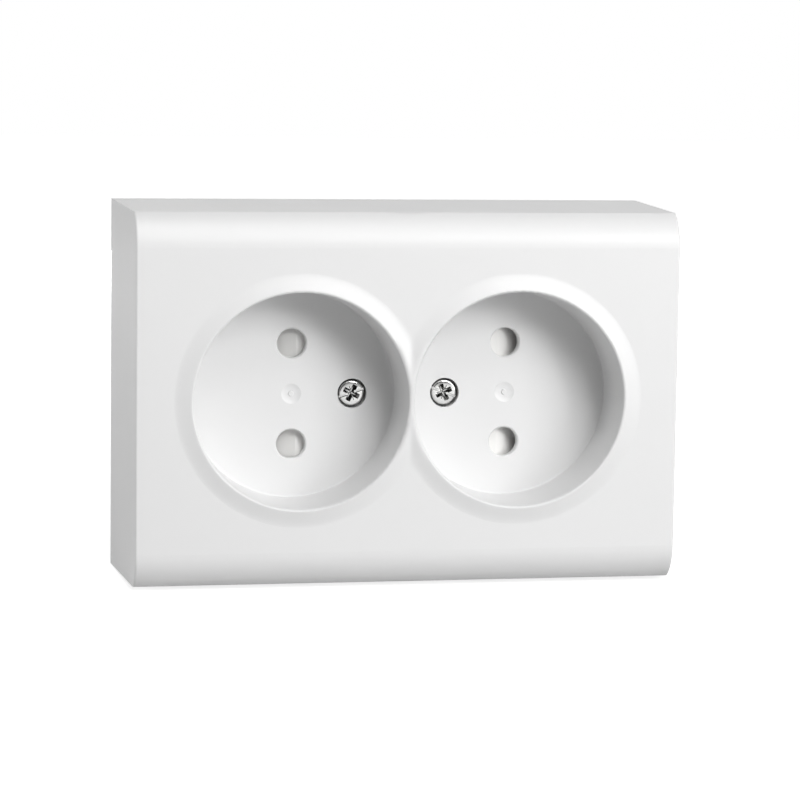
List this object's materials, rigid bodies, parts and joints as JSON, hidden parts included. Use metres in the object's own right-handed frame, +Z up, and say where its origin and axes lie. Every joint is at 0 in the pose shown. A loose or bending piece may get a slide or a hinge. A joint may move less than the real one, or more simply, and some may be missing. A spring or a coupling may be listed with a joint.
{
  "type": "double wall socket",
  "caption": "Surface-mounted double wall socket: box cover with side-by-side round plug wells, shuttered pin holes and recessed screws, over a wall base with contacts and terminals.",
  "frame": {"origin": "on the wall face of the base, behind the middle of the socket", "axes": "+X right seen from the front, +Y into the wall, +Z up"},
  "size_m": [0.104, 0.0358, 0.0708],
  "materials": {
    "cover_plastic": "satin gloss moulded white",
    "base_plastic": "fine textured moulding",
    "shutter_plastic": "smooth moulding, slightly warm white",
    "brass_sheet": "rolled sheet, lightly brushed",
    "plated_steel": "bright zinc plating",
    "spring_steel": "drawn spring steel"
  },
  "bodies": {
    "housing": {"cover": "cover_plastic", "base": "base_plastic", "cover_screw_left": "plated_steel", "cover_screw_right": "plated_steel", "threaded_insert_left": "brass_sheet", "threaded_insert_right": "brass_sheet", "shutter_retainer_left": "base_plastic", "shutter_retainer_right": "base_plastic", "retainer_screws_left": "plated_steel", "retainer_screws_right": "plated_steel", "shutter_spring_left": "spring_steel", "shutter_spring_right": "spring_steel", "pole_strip_upper": "brass_sheet", "pole_strip_lower": "brass_sheet", "contact_clip_upper_left": "spring_steel", "contact_clip_upper_right": "spring_steel", "contact_clip_lower_left": "spring_steel", "contact_clip_lower_right": "spring_steel", "terminal_plate_upper_left": "plated_steel", "terminal_plate_upper_right": "plated_steel", "terminal_plate_lower_left": "plated_steel", "terminal_plate_lower_right": "plated_steel", "terminal_screw_upper_left": "plated_steel", "terminal_screw_upper_right": "plated_steel", "terminal_screw_lower_left": "plated_steel", "terminal_screw_lower_right": "plated_steel", "cable_clamp": "base_plastic", "cable_clamp_screws": "plated_steel"},
    "left_shutter": {"shutter_left": "shutter_plastic"},
    "right_shutter": {"shutter_right": "shutter_plastic"}
  },
  "joints": [
    {"name": "left_shutter_slide", "type": "slide", "parent": "housing", "child": "left_shutter", "axis": [1, 0, 0], "range_m": [0, 0.006], "stiffness_N_per_m": 120, "springref_m": -0.003, "deforming": ["shutter_spring_left"]},
    {"name": "right_shutter_slide", "type": "slide", "parent": "housing", "child": "right_shutter", "axis": [-1, 0, 0], "range_m": [0, 0.006], "stiffness_N_per_m": 120, "springref_m": -0.003, "deforming": ["shutter_spring_right"]}
  ]
}
